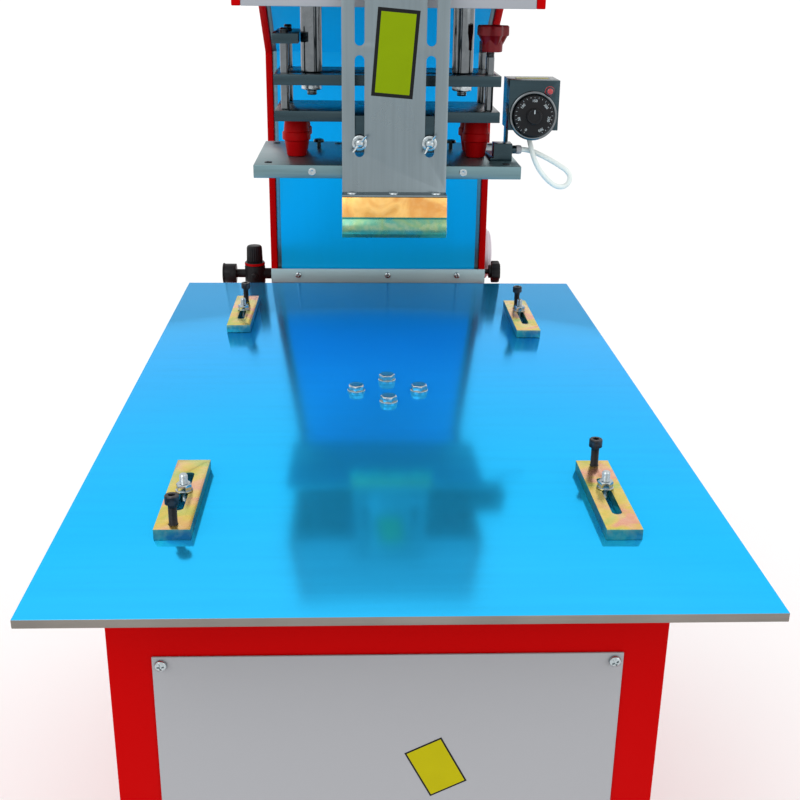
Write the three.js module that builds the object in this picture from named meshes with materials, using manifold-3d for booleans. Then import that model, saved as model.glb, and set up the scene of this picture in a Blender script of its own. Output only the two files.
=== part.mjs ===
// Pneumatic hot foil stamper: a red C-frame press head over a large film-covered worktable
// on a sheet-metal cabinet.
// Millimetres, +Z up, +X to the operator's right, the operator stands on the -Y side.
// Origin: on the floor, under the middle of the machine.
import * as THREE from "three";
import { mergeVertices } from "three/addons/utils/BufferGeometryUtils.js";
import Module from "manifold-3d";

const wasm = await Module();
wasm.setup();

// ---- driving dimensions ----
const gap = 0.3; // clearance between pieces that touch
const boreGap = 0.4; // radial clearance of a rod in its hole
const sides = 28; // facets round a cylinder

const table = { width: 600, front: -615, back: 385, top: 800, thick: 8 };
const cabinet = {
  centre: -8, width: 500, front: -502, back: 615, bottom: 60, top: 735, sheet: 3, flange: 50,
};
const panel = { width: 422, bottom: 120, top: 693, thick: 2 };
const foot = { padRadius: 26, padHeight: 14, stemRadius: 7, insetX: 55, insetY: 60 };
const column = { width: 350, plate: 10, front: 450, bendTop: 1145, slopeFront: 325 };
const head = { front: -36, bottom: 1226, top: 1480 };
const strip = { bottom: 784, top: 807, thick: 4 };
const plates = { halfWidth: 132, front: -10, back: 110 }; // the two tie plates of the moving head
const upper = { bottom: 1139, top: 1151 };
const lower = { bottom: 1098, top: 1110 };
const heater = { halfWidth: 156, front: -40, back: 160, bottom: 1037, top: 1052 };
const pillar = { x: 89, y: 22, radius: 12.5, top: 1455 };
const tie = { x: 120, frontY: 8, backY: 92, radius: 5 };
const side = { bottom: 1185, top: 1196, left: -133, right: -103 };
const standoff = { x: 109, frontY: 34, backY: 84 };
const guide = { front: -15, back: 150, bottom: 1262, thick: 22 };
const piston = { y: 50, radius: 10 };
const sheet = {
  centre: 7, halfWidth: 60, back: -52, thick: 2, bottom: 1022, top: 1300, slotX: 40, slotHalf: 5.5, foot: 20,
};
const lip = { wall: 1.6, height: 46.5 };
const wingScrew = { z: 1080, radius: 3 };
const thermostat = {
  left: 142, right: 201, front: -10, back: 45, bottom: 1090, top: 1147, dialX: 171, dialZ: 1107,
};
const clamp = { halfWidth: 16, length: 150, thick: 10, slotHalf: 4.6, jackRadius: 4 };
const cylinder = { flangeHalf: 38, radius: 32, flange: 24, length: 150 };
const regulator = { x: -206, y: 500, bottom: 764, top: 806, portZ: 786, radius: 17 };
const cover = { y: 520, z: 817, radius: 42 };
const turnKnob = { y: 458, z: 801, from: 11, to: 26, radius: 16.5, lobe: 2.5 };
const star = { radius: 17.2, lobe: 2.6, lobes: 5, height: 12, hubRadius: 12.5 };
const lead = { radius: 3, steps: 34 };
const stroke = 100; // travel of the stamping head, downwards

const machine = new THREE.Group();
machine.name = "hot_foil_stamper";

// ---- finishes ----
const finish = (color, roughness, metalness) =>
  new THREE.MeshStandardMaterial({ color, roughness, metalness });
const redPaint = finish(0xc8101a, 0.35, 0.1);
const whitePaint = finish(0xe8eaee, 0.4, 0.05);
const blueFilm = finish(0x0b9fe0, 0.18, 0.3);
const steel = finish(0x8f969b, 0.32, 0.9);
const chrome = finish(0xb9bec2, 0.1, 1);
const aluminium = finish(0xb4bac0, 0.38, 0.9);
const zinc = finish(0xc9b450, 0.3, 0.85);
const boltBlack = finish(0x15151a, 0.45, 0.5);
const blackPlastic = finish(0x101013, 0.4, 0);
const redPlastic = finish(0xb80a10, 0.42, 0);
const paleGrey = finish(0xd9d2da, 0.5, 0);
const whiteSleeve = finish(0xdfe8e4, 0.6, 0);

// ---- helpers ----
// A closed geometry as a manifold-3d solid.
function solid(geometry) {
  const bare = geometry.index ? geometry.toNonIndexed() : geometry.clone();
  for (const name of Object.keys(bare.attributes)) if (name !== "position") bare.deleteAttribute(name);
  const merged = mergeVertices(bare, 1e-3);
  return new wasm.Manifold(
    new wasm.Mesh({
      numProp: 3,
      vertProperties: merged.attributes.position.array,
      triVerts: new Uint32Array(merged.index.array),
    }),
  );
}

// A solid back as a three.js geometry.
function geometryOf(body) {
  const mesh = body.getMesh();
  const positions = new Float32Array(mesh.numVert * 3);
  for (let i = 0; i < mesh.numVert; i++) {
    positions.set(mesh.vertProperties.subarray(i * mesh.numProp, i * mesh.numProp + 3), i * 3);
  }
  const geometry = new THREE.BufferGeometry();
  geometry.setAttribute("position", new THREE.BufferAttribute(positions, 3));
  geometry.setIndex(new THREE.BufferAttribute(mesh.triVerts, 1));
  return geometry;
}

const join = (first, ...rest) => geometryOf(rest.reduce((sum, g) => sum.add(solid(g)), solid(first)));
const cut = (first, ...rest) => geometryOf(rest.reduce((sum, g) => sum.subtract(solid(g)), solid(first)));

// A box between two corners.
function block(x0, x1, y0, y1, z0, z1) {
  const made = new THREE.BoxGeometry(x1 - x0, y1 - y0, z1 - z0);
  return made.translate((x0 + x1) / 2, (y0 + y1) / 2, (z0 + z1) / 2);
}

// A cylinder along Z from z0 to z1.
function rod(x, y, z0, z1, radius, count = sides) {
  const made = new THREE.CylinderGeometry(radius, radius, z1 - z0, count);
  return made.rotateX(Math.PI / 2).translate(x, y, (z0 + z1) / 2);
}

// A cylinder along Y from y0 to y1.
function rodY(x, z, y0, y1, radius, count = sides) {
  return new THREE.CylinderGeometry(radius, radius, y1 - y0, count).translate(x, (y0 + y1) / 2, z);
}

// A cylinder along X from x0 to x1.
function rodX(y, z, x0, x1, radius, count = sides) {
  const made = new THREE.CylinderGeometry(radius, radius, x1 - x0, count);
  return made.rotateZ(Math.PI / 2).translate((x0 + x1) / 2, y, z);
}

// A turned body about a Z axis through (x, y).
// The profile is [radius, z] from the bottom up, and starts and ends on the axis.
function turned(x, y, profile, count = sides) {
  const points = profile.map(([r, z]) => new THREE.Vector2(r, z));
  return new THREE.LatheGeometry(points, count).rotateX(Math.PI / 2).translate(x, y, 0);
}

// An outline in the YZ plane, extruded along X from x0 to x1.
function profileX(points, x0, x1) {
  const shape = new THREE.Shape(points.map(([y, z]) => new THREE.Vector2(y, z)));
  const made = new THREE.ExtrudeGeometry(shape, { depth: x1 - x0, bevelEnabled: false });
  made.applyMatrix4(new THREE.Matrix4().makeBasis(
    new THREE.Vector3(0, 1, 0),
    new THREE.Vector3(0, 0, 1),
    new THREE.Vector3(1, 0, 0),
  ));
  return made.translate(x0, 0, 0);
}

// A flat plate in XY from z0 to z1 with round holes [x, y, radius] and slots [x, y0, y1, half width].
function plateXY(x0, x1, y0, y1, z0, z1, holes = [], slots = []) {
  const shape = new THREE.Shape();
  shape.moveTo(x0, y0).lineTo(x1, y0).lineTo(x1, y1).lineTo(x0, y1).closePath();
  for (const [x, y, r] of holes) shape.holes.push(new THREE.Path().absarc(x, y, r, 0, 2 * Math.PI, true));
  for (const [x, from, to, half] of slots) {
    const slot = new THREE.Path();
    slot.absarc(x, to - half, half, 0, Math.PI, false);
    slot.absarc(x, from + half, half, Math.PI, 2 * Math.PI, false);
    shape.holes.push(slot);
  }
  const made = new THREE.ExtrudeGeometry(shape, { depth: z1 - z0, bevelEnabled: false, curveSegments: 10 });
  return made.translate(0, 0, z0);
}

// A closed ring of points whose radius waves in and out round (x, y).
function lobed(x, y, radius, lobe, count) {
  return Array.from({ length: count }, (_, i) => {
    const a = (i / count) * 2 * Math.PI;
    const r = radius + lobe * Math.cos(star.lobes * a);
    return [x + r * Math.cos(a), y + r * Math.sin(a)];
  });
}

function add(name, geometry, material) {
  const mesh = new THREE.Mesh(geometry, material);
  mesh.name = name;
  machine.add(mesh);
  return mesh;
}

// ---- cabinet ----
function buildCabinet() {
  const { centre, front, back, bottom } = cabinet;
  const half = cabinet.width / 2;
  const t = cabinet.sheet;
  const inner = half - t - gap;
  const flangeEdge = half - cabinet.flange;
  const wallTop = cabinet.top - t - gap;
  for (const [name, s] of [["cabinet_left_wall", -1], ["cabinet_right_wall", 1]]) {
    const xs = (a, b) => (s < 0 ? [centre - b, centre - a] : [centre + a, centre + b]);
    const wall = block(...xs(half - t, half), front, back, bottom, wallTop);
    const flange = block(...xs(flangeEdge, half), front, front + t, bottom, wallTop);
    add(name, join(wall, flange), redPaint);
  }
  const middle = (halfWidth, ...rest) => block(centre - halfWidth, centre + halfWidth, ...rest);
  const flangeHalf = flangeEdge - gap;
  const innerFront = front + t + gap;
  const rearFace = back - t;
  const behindDoor = 11; // height of each cross flange hidden behind the door
  add(
    "cabinet_top",
    join(
      middle(half, front, back, cabinet.top - t, cabinet.top),
      middle(flangeHalf, front, front + t, panel.top - behindDoor, cabinet.top - t / 2),
    ),
    redPaint,
  );
  add(
    "cabinet_floor",
    join(
      middle(inner, innerFront, rearFace - gap, bottom, bottom + t),
      middle(flangeHalf, front, innerFront + t, bottom, bottom + t),
      middle(flangeHalf, front, front + t, bottom, panel.bottom + behindDoor),
    ),
    redPaint,
  );
  add("cabinet_rear_panel", middle(inner, rearFace, back, bottom + gap, wallTop), redPaint);
  const panelBack = front - gap;
  add(
    "cabinet_front_panel",
    middle(panel.width / 2, panelBack - panel.thick, panelBack, panel.bottom, panel.top),
    whitePaint,
  );
  const corners = [
    ["front_left", -1, -1], ["front_right", 1, -1], ["rear_left", -1, 1], ["rear_right", 1, 1],
  ];
  for (const [name, sx, sy] of corners) {
    const x = centre + sx * (half - foot.insetX);
    const y = sy < 0 ? front + foot.insetY : back - foot.insetY;
    const top = bottom - gap;
    const nut = { radius: foot.stemRadius * 1.7, height: 10 };
    const made = turned(x, y, [
      [0, 0], [foot.padRadius, 0], [foot.padRadius, foot.padHeight * 0.5],
      [foot.padRadius * 0.7, foot.padHeight], [foot.stemRadius, foot.padHeight],
      [foot.stemRadius, top - nut.height], [nut.radius, top - nut.height], [nut.radius, top], [0, top],
    ]);
    add("foot_" + name, made, boltBlack);
  }
}

// ---- column and head housing ----
function buildFrame() {
  const half = column.width / 2;
  const base = cabinet.top + gap;
  const outline = [
    [cabinet.back, base], [column.front, base], [column.front, column.bendTop],
    [column.slopeFront, head.bottom], [head.front, head.bottom], [head.front, head.top],
    [cabinet.back, head.top],
  ].reverse();
  add("frame_plate_left", profileX(outline, -half, -half + column.plate), redPaint);
  add("frame_plate_right", profileX(outline, half - column.plate, half), redPaint);
  const inner = half - column.plate - gap;
  const face = column.front + 4; // the blue panel stands a little behind the red edges
  const t = 2;
  add(
    "column_front_panel",
    profileX(
      [
        [face, base + 1], [face, column.bendTop + 2], [column.slopeFront + 4, head.bottom + 3],
        [column.slopeFront + 4, head.bottom + 3 + t * 1.3],
        [face + t, column.bendTop + 2 + t * 0.6], [face + t, base + 1],
      ].reverse(),
      -inner,
      inner,
    ),
    blueFilm,
  );
  const coverBack = cabinet.back - 2;
  const rearCover = block(-inner, inner, coverBack - t, coverBack, base + 1, head.top - 5);
  add("column_rear_cover", rearCover, whitePaint);
  add(
    "column_base_strip",
    block(-half, half, column.front - gap - strip.thick, column.front - gap, strip.bottom, strip.top),
    aluminium,
  );
  add(
    "head_cover",
    join(
      block(-inner, inner, head.front, head.front + t, head.bottom, head.top),
      block(-inner, inner, head.front, cabinet.back - 5, head.top - t, head.top),
    ),
    whitePaint,
  );
}

// The fixed plate that guides the pillars and carries the air cylinder.
function buildDrive() {
  const inner = column.width / 2 - column.plate - gap;
  const top = guide.bottom + guide.thick;
  const bore = pillar.radius + boreGap;
  let body = solid(plateXY(-inner, inner, guide.front, guide.back, guide.bottom, top));
  for (const x of [-pillar.x, pillar.x]) {
    body = body.add(solid(rod(x, pillar.y, guide.bottom - 14, top + 34, pillar.radius + 8)));
    body = body.subtract(solid(rod(x, pillar.y, guide.bottom - 20, top + 40, bore)));
  }
  body = body.subtract(solid(rod(0, piston.y, guide.bottom - 1, top + 1, piston.radius + 3)));
  add("head_guide_plate", geometryOf(body), steel);
  const seat = top + gap;
  const end = seat + cylinder.length;
  const flange = (from, to) =>
    solid(block(-cylinder.flangeHalf, cylinder.flangeHalf, piston.y - cylinder.flangeHalf,
      piston.y + cylinder.flangeHalf, from, to));
  const into = cylinder.flange - 1; // the barrel ends 1 mm inside each flange
  const barrel = solid(rod(0, piston.y, seat + into, end - into, cylinder.radius));
  const boreTop = seat + stroke + 40;
  const rodBore = solid(rod(0, piston.y, seat - 1, boreTop, piston.radius + boreGap));
  const made = flange(seat, seat + cylinder.flange).add(barrel).add(flange(end - cylinder.flange, end));
  add("air_cylinder", geometryOf(made.subtract(rodBore)), aluminium);
  add("piston_rod", rod(0, piston.y, upper.top + gap, seat + stroke + 30, piston.radius), chrome);
}

// ---- worktable ----
function buildTable() {
  const under = table.top - table.thick;
  const middle = (table.front + table.back) / 2;
  const seat = [
    [0, cabinet.top + gap], [95, cabinet.top + gap], [95, cabinet.top + 8], [60, cabinet.top + 12],
    [60, under - 9], [95, under - 6], [95, under - gap], [0, under - gap],
  ];
  add("table_pedestal", turned(0, middle, seat, 36), steel);
  add(
    "table_plate",
    block(-table.width / 2, table.width / 2, table.front, table.back, under, table.top),
    blueFilm,
  );
}

// A slotted clamp bar that slides along Y on a stud, with its socket-head jack screw.
function buildClamps() {
  const z = table.top + gap;
  const top = z + clamp.thick;
  const places = [
    ["front_left", -197, -487, -476, -408],
    ["front_right", 197, -492, -353, -406],
    ["back_left", -197, 120, 240, 195],
    ["back_right", 197, 97, 222, 192],
  ];
  for (const [name, x, near, jackY, studY] of places) {
    const far = near + clamp.length;
    const jackNear = jackY < near + clamp.length / 2;
    const slotFrom = jackNear ? near + 38 : near + 30;
    const slotTo = jackNear ? far - 30 : far - 42;
    const hole = clamp.jackRadius + boreGap;
    const bar = plateXY(
      x - clamp.halfWidth, x + clamp.halfWidth, near, far, z, top,
      [[x, jackY, hole]],
      [[x, slotFrom, slotTo, clamp.slotHalf]],
    );
    add("clamp_bar_" + name, bar, zinc);
    const jack = turned(x, jackY, [
      [0, z], [clamp.jackRadius, z], [clamp.jackRadius, top + 20], [6.5, top + 20], [6.5, top + 28],
      [3.4, top + 28], [3.4, top + 24], [0, top + 24],
    ], 20);
    add("clamp_jack_screw_" + name, jack, boltBlack);
    const nut = rod(0, 0, top + gap, top + gap + 6.5, 7.5, 6).rotateZ(0.35).translate(x, studY, 0);
    add("clamp_stud_" + name, join(rod(x, studY, z, top + 17, 4, 20), nut), steel);
  }
}

// ---- stamping head: everything from here moves with the air cylinder ----
function buildPlates() {
  const tieHole = tie.radius + boreGap;
  const tieHoles = [-tie.x, tie.x].flatMap((x) => [[x, tie.frontY, tieHole], [x, tie.backY, tieHole]]);
  const area = [-plates.halfWidth, plates.halfWidth, plates.front, plates.back];
  add("upper_plate", plateXY(...area, upper.bottom, upper.top, tieHoles), steel);
  let plate = solid(plateXY(...area, lower.bottom, lower.top));
  for (const x of [sheet.centre - sheet.slotX, sheet.centre + sheet.slotX]) {
    const lugFront = sheet.back + gap;
    plate = plate.add(solid(block(x - 8, x + 8, lugFront, plates.front + 2, lower.top - 6, lower.top)));
    plate = plate.add(solid(block(x - 8, x + 8, lugFront, lugFront + 5, wingScrew.z - 11, lower.top)));
    const bore = rodY(x, wingScrew.z, lugFront - 3, lugFront + 9, wingScrew.radius + boreGap);
    plate = plate.subtract(solid(bore));
  }
  add("lower_plate", geometryOf(plate), steel);
  const heaterArea = [-heater.halfWidth, heater.halfWidth, heater.front, heater.back];
  add("heater_plate", block(...heaterArea, heater.bottom, heater.top), aluminium);
  const left = tieHoles.filter(([x]) => x < 0);
  const sideArea = [side.left, side.right, plates.front, plates.back];
  add("tie_plate", plateXY(...sideArea, side.bottom, side.top, left), steel);
}

function buildRods() {
  for (const [name, s] of [["left", -1], ["right", 1]]) {
    const x = s * pillar.x;
    add("guide_pillar_" + name, rod(x, pillar.y, upper.top + gap, pillar.top, pillar.radius, 32), chrome);
    const top = s < 0 ? side.top + 6 : side.bottom;
    const bottom = lower.top + gap;
    for (const [end, y] of [["front", tie.frontY], ["back", tie.backY]]) {
      add("tie_rod_" + name + "_" + end, rod(s * tie.x, y, bottom, top, tie.radius, 20), steel);
    }
    for (const [end, y] of [["front", standoff.frontY], ["back", standoff.backY]]) {
      const z = heater.top + gap;
      const h = lower.bottom - heater.top - 2 * gap;
      const made = turned(s * standoff.x, y, [
        [0, z], [11.5, z], [14.5, z + h * 0.42], [17, z + h * 0.44], [17, z + h * 0.62], [15, z + h * 0.64],
        [13.5, z + h], [0, z + h],
      ], 24);
      add("insulator_" + name + "_" + end, made, redPlastic);
    }
  }
}

// A five-lobed knob on the right front tie rod, bored over the rod's end.
function buildStarKnob() {
  const points = lobed(0, 0, star.radius, star.lobe, 40).map(([x, y]) => new THREE.Vector2(x, y));
  const cap = new THREE.ExtrudeGeometry(new THREE.Shape(points), { depth: star.height, bevelEnabled: false });
  cap.translate(tie.x, tie.frontY, side.bottom + 10);
  const hub = rod(tie.x, tie.frontY, side.bottom - 8, side.bottom + 11, star.hubRadius, 24);
  const bore = rod(tie.x, tie.frontY, side.bottom - 9, side.bottom + gap, tie.radius + boreGap, 20);
  add("star_knob", cut(join(cap, hub), bore), redPlastic);
}

function buildThermostat() {
  const { left, right, front, back, bottom, top, dialX, dialZ } = thermostat;
  const ring = cut(
    rodY(dialX, dialZ, front - 3, front + 1, 28, 40),
    rodY(dialX, dialZ, front - 4, front + 0.2, 24.5, 40),
  );
  const lamp = rodY(right - 12, top - 12, front - 5, front + 1, 5, 16);
  add("thermostat_box", join(block(left, right, front, back, bottom, top), ring, lamp), steel);
  const dial = join(
    rodY(dialX, dialZ, front - 9, front - gap, 23.6, 40),
    rodY(dialX, dialZ, front - 14, front - 8, 9, 32),
  );
  add("thermostat_dial", dial, blackPlastic);
  const seat = heater.top + gap;
  add(
    "heater_terminal",
    join(
      block(124, 150, 2, 66, seat, seat + 3),
      block(147, 150, 46, 66, seat, bottom + 24),
      block(147, 170, back + gap, back + gap + 3, bottom + 4, bottom + 24),
      block(128, 150, 2, 24, seat, seat + 20),
      rodX(13, seat + 12, 149, 156, 5, 16),
    ),
    steel,
  );
}

// The white sleeved lead from the heater terminal, round in a free loop, and up into the thermostat.
function buildLead() {
  const route = [
    [156.5, 13, 1064.3], [166.1, 13, 1064.2], [177, 12.7, 1061.8], [188.8, 11.3, 1056.8], [200.2, 9.3, 1051.2],
    [210, 7, 1045.6], [217.4, 4.7, 1040.5], [221.5, 2.4, 1033.9], [219.7, 0, 1026.7], [213.2, -2, 1022.6],
    [204.8, -3, 1023.3], [196.5, -2.6, 1028.3], [188.3, -1, 1036.3], [181.5, 1, 1045.8], [176.4, 3.2, 1056.8],
    [173.3, 7.4, 1067.5], [171.3, 13.6, 1077.5], [170.6, 17.6, 1084.5], [170.6, 18, 1089.5],
  ].map((p) => new THREE.Vector3(...p));
  const curve = new THREE.CatmullRomCurve3(route);
  const section = new THREE.Shape();
  section.absarc(0, 0, lead.radius, 0, 2 * Math.PI, false);
  const options = { extrudePath: curve, steps: lead.steps, curveSegments: 4 };
  const made = new THREE.ExtrudeGeometry(section, options);
  add("heater_lead", made, whiteSleeve);
}

// ---- foil guide sheet: a slotted plate with a foot, the rolled lip under it, and wing screws ----
function buildGuideSheet() {
  const { centre, halfWidth, back, thick, bottom, top, slotX, slotHalf } = sheet;
  const left = centre - halfWidth;
  const right = centre + halfWidth;
  const slots = [centre - slotX, centre + slotX];
  const shape = new THREE.Shape();
  shape.moveTo(left, bottom).lineTo(right, bottom).lineTo(right, top).lineTo(left, top).closePath();
  for (const x of slots) {
    for (const [low, high] of [[1064, 1176], [1186, 1290]]) {
      const slot = new THREE.Path();
      slot.absarc(x, high - slotHalf, slotHalf, 0, Math.PI, false);
      slot.absarc(x, low + slotHalf, slotHalf, Math.PI, 2 * Math.PI, false);
      shape.holes.push(slot);
    }
  }
  const flat = new THREE.ExtrudeGeometry(shape, { depth: thick, bevelEnabled: false, curveSegments: 10 });
  flat.rotateX(Math.PI / 2).translate(0, back, 0);
  const footFront = back - thick - sheet.foot;
  add("foil_guide_sheet", join(flat, block(left, right, footFront, back, bottom, bottom + thick)), aluminium);
  buildLip(left, right, footFront);
  for (const [name, x] of [["left", slots[0]], ["right", slots[1]]]) {
    const front = back - thick - gap;
    const shank = rodY(x, wingScrew.z, front - 1, back + 6, wingScrew.radius, 16);
    const hub = rodY(x, wingScrew.z, front - 9, front, 6.5, 20);
    const wings = block(-13, 13, front - 14, front - 4, -2, 2)
      .rotateY(Math.PI / 3).translate(x, 0, wingScrew.z);
    const disc = rodY(x, wingScrew.z, front - 1.2, front, 8.5, 24);
    add("wing_screw_" + name, join(shank, hub, wings, disc), chrome);
  }
}

// The lip's section, from its flange under the foot, down the flat facet to the crease and round the bulge.
function buildLip(left, right, footFront) {
  const z = sheet.bottom - gap;
  const y = footFront;
  const outer = [
    [sheet.back - 4, z], [y - 1.5, z], [y - 6, z - 22], [y - 4.5, z - 24.5], [y - 8, z - 29],
    [y - 9.5, z - 34.5], [y - 8, z - 41], [y - 2, z - lip.height],
  ];
  const inner = outer
    .map(([a, b], i) => [a + (i === 0 ? 0 : lip.wall), b - (i < 2 ? lip.wall : 0)])
    .reverse();
  add("foil_guide_lip", profileX([...outer, ...inner].reverse(), left, right), zinc);
}

// ---- fittings on the column ----
function buildFittings() {
  const { x, y, bottom, top, portZ, radius } = regulator;
  const bowlTop = bottom + 35;
  const collar = radius - 1;
  const leftFace = -column.width / 2 - gap;
  const body = join(
    turned(x, y, [
      [0, bottom], [radius - 3, bottom], [radius, bottom + 8], [radius, bowlTop], [0, bowlTop],
    ], 28),
    turned(x, y, [[0, bowlTop - 1], [collar, bowlTop - 1], [collar, top], [0, top]], 28),
    rodX(y, portZ, x, leftFace, 9, 20),
    rodX(y, portZ, x - 33, x, 7, 20),
    rodX(y, portZ, x - 53, x - 31, 16, 28),
  );
  add("air_regulator", body, blackPlastic);
  const base = top + gap;
  const cap = turned(x, y, [[0, base], [13.5, base], [12, top + 26], [10, top + 28], [0, top + 28]], 28);
  add("regulator_knob", cap, blackPlastic);
  const right = column.width / 2 + gap;
  const dome = [[0, 0], [cover.radius, 0], [cover.radius, 9], [38, 13], [30, 15], [0, 16]];
  const made = new THREE.LatheGeometry(dome.map(([r, h]) => new THREE.Vector2(r, h)), 40);
  add("side_cover", made.rotateZ(-Math.PI / 2).translate(right, cover.y, cover.z), paleGrey);
  const { from, to } = turnKnob;
  const grip = lobed(turnKnob.y, turnKnob.z, turnKnob.radius, turnKnob.lobe, 35);
  add(
    "side_knob",
    join(
      profileX(grip, right + from, right + to),
      rodX(turnKnob.y, turnKnob.z, right + from - 4, right + from + 1, 11, 24),
      rodX(turnKnob.y, turnKnob.z, right, right + from - 3, 4, 16),
    ),
    blackPlastic,
  );
}

buildCabinet();
buildFrame();
buildDrive();
buildTable();
buildClamps();
buildPlates();
buildRods();
buildStarKnob();
buildThermostat();
buildLead();
buildGuideSheet();
buildFittings();

export default machine;
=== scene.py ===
from math import cos, pi, radians, sin

import bpy
from mathutils import Euler, Matrix, Vector


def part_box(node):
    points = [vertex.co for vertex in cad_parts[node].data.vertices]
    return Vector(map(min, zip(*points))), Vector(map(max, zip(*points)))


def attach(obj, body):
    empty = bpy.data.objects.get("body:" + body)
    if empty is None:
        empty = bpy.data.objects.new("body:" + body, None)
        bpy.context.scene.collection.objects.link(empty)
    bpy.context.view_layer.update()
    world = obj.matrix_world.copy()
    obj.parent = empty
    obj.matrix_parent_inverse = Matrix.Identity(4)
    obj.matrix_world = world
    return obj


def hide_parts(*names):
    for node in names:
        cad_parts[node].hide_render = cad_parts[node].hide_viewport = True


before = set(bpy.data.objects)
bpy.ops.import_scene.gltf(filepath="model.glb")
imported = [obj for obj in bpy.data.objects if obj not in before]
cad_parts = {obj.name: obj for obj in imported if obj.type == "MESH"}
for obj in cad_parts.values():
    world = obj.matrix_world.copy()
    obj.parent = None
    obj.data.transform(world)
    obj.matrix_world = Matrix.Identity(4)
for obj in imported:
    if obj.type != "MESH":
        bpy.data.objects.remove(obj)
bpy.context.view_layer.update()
print("frame loaded")

mm = 0.001
scene = bpy.context.scene
scene.view_settings.view_transform = "Standard"


# camera, at standing eye height in front of the table
def addCamera():
    view = {"at": (-0.0384, -1.3735, 1.2634), "lens": 51.22, "down": 20.62, "right": 2.41, "roll": 0.77}
    lensData = bpy.data.cameras.new("camera")
    lensData.lens = view["lens"]
    lensData.sensor_width = 36
    lensData.clip_end = 100
    camera = bpy.data.objects.new("camera", lensData)
    scene.collection.objects.link(camera)
    turn = Matrix.Rotation(-radians(view["right"]), 4, "Z") @ Matrix.Rotation(radians(90 - view["down"]), 4, "X")
    camera.matrix_world = Matrix.Translation(view["at"]) @ turn @ Matrix.Rotation(radians(view["roll"]), 4, "Z")
    scene.camera = camera


addCamera()


# hand tools
def clearSelection():
    if bpy.context.object and bpy.context.object.mode != "OBJECT":
        bpy.ops.object.mode_set(mode="OBJECT")
    bpy.ops.object.select_all(action="DESELECT")


def pick(piece):
    clearSelection()
    piece.select_set(True)
    bpy.context.view_layer.objects.active = piece


def settle(piece):
    pick(piece)
    bpy.ops.object.transform_apply(location=True, rotation=True, scale=True)


def finishWith(piece, kind, **settings):
    pick(piece)
    modifier = piece.modifiers.new(kind.lower(), kind)
    for key, value in settings.items():
        setattr(modifier, key, value)
    bpy.ops.object.modifier_apply(modifier=modifier.name)


def crisp(piece, width, segments=2, angle=32):
    finishWith(piece, "BEVEL", width=width, segments=segments, limit_method="ANGLE", angle_limit=radians(angle))
    smoothed(piece)


def smoothed(piece, angle=35):
    pick(piece)
    bpy.ops.object.shade_smooth_by_angle(angle=radians(angle))


def editFaces(piece, wanted):
    pick(piece)
    bpy.ops.object.mode_set(mode="EDIT")
    bpy.ops.mesh.select_mode(type="FACE")
    bpy.ops.mesh.select_all(action="DESELECT")
    bpy.ops.object.mode_set(mode="OBJECT")
    for face in piece.data.polygons:
        face.select = wanted(face.center, face.normal)
    bpy.ops.object.mode_set(mode="EDIT")


def facesOut(piece):
    pick(piece)
    bpy.ops.object.mode_set(mode="EDIT")
    bpy.ops.mesh.select_all(action="SELECT")
    bpy.ops.mesh.remove_doubles(threshold=1e-6)
    bpy.ops.mesh.normals_make_consistent(inside=False)
    bpy.ops.object.mode_set(mode="OBJECT")


def named(piece, name):
    piece.name = name
    piece.data.name = name
    return piece


# a turned piece along Z: each step is (radius, height) in mm, from the bottom up
def turned(name, steps, sides=40):
    clearSelection()
    radius, height = steps[0]
    bpy.ops.mesh.primitive_circle_add(vertices=sides, radius=radius * mm, fill_type="NGON",
                                      location=(0, 0, height * mm))
    piece = named(bpy.context.object, name)
    settle(piece)
    bpy.ops.object.mode_set(mode="EDIT")
    bpy.ops.mesh.select_all(action="SELECT")
    for nextRadius, nextHeight in steps[1:]:
        rise = (nextHeight - height) * mm
        bpy.ops.mesh.extrude_region_move(TRANSFORM_OT_translate={"value": (0, 0, rise)})
        grow = nextRadius / radius
        bpy.ops.transform.resize(value=(grow, grow, 1), center_override=(0, 0, nextHeight * mm))
        radius, height = nextRadius, nextHeight
    facesOut(piece)
    return piece


# a block between two corners, in mm
def blockOf(name, low, high):
    clearSelection()
    centre = [(a + b) / 2 * mm for a, b in zip(low, high)]
    bpy.ops.mesh.primitive_cube_add(size=1, location=centre)
    piece = named(bpy.context.object, name)
    piece.scale = [(b - a) * mm for a, b in zip(low, high)]
    settle(piece)
    return piece


facing = {"+Z": (0, 0, 0), "-Z": (pi, 0, 0), "-Y": (pi / 2, 0, 0), "+Y": (-pi / 2, 0, 0), "+X": (0, pi / 2, 0),
          "-X": (0, -pi / 2, 0)}


# puts a piece made about the origin at its place, in mm, its own Z looking along towards
def put(piece, at, towards="+Z", spin=0.0):
    turn = Euler(facing[towards]).to_matrix().to_4x4() @ Matrix.Rotation(radians(spin), 4, "Z")
    piece.matrix_world = Matrix.Translation(Vector(at) * mm) @ turn
    settle(piece)
    return piece


def copyOf(piece, name):
    twin = piece.copy()
    twin.data = piece.data.copy()
    scene.collection.objects.link(twin)
    return named(twin, name)


def joined(name, pieces):
    clearSelection()
    for piece in pieces:
        piece.select_set(True)
    bpy.context.view_layer.objects.active = pieces[0]
    bpy.ops.object.join()
    return named(pieces[0], name)


def carve(piece, cutter):
    finishWith(piece, "BOOLEAN", operation="DIFFERENCE", object=cutter, solver="EXACT")
    bpy.data.objects.remove(cutter)


def discard(piece):
    bpy.data.objects.remove(piece)


# a frame part's middle in x and y, its underside and its height, in mm
def standing(node):
    low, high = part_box(node)
    return (low.x + high.x) * 500, (low.y + high.y) * 500, low.z * 1000, (high.z - low.z) * 1000


# the angle of a vertex round the Z axis
def angleOf(vertex):
    return Vector((vertex.co.x, vertex.co.y)).angle_signed(Vector((1, 0)), 0)


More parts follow.
